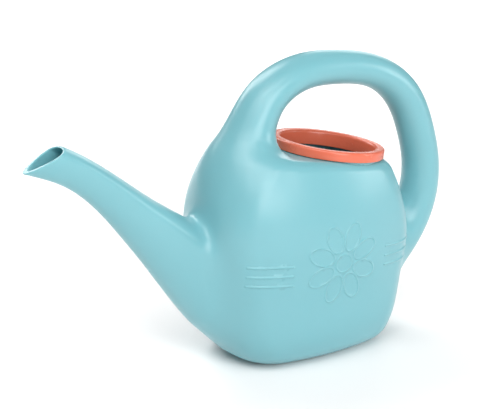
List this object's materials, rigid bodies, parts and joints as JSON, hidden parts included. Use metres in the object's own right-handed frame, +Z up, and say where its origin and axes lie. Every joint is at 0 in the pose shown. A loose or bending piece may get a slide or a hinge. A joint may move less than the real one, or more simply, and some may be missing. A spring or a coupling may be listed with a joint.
{
  "type": "watering can",
  "caption": "Child's moulded watering can with an open spout, a loop handle over the tank and a pressed-on collar round the filling mouth.",
  "frame": {"origin": "on the floor at the middle of the tank's base", "axes": "+Z up, spout towards -X, handle at +X, XZ is the mirror plane"},
  "size_m": [0.3032, 0.0982, 0.1971],
  "materials": {
    "can_plastic": "semi-gloss moulded polyethylene",
    "collar_plastic": "semi-gloss moulded polypropylene"
  },
  "bodies": {
    "root": {"can_body": "can_plastic", "fill_collar": "collar_plastic"}
  },
  "joints": []
}
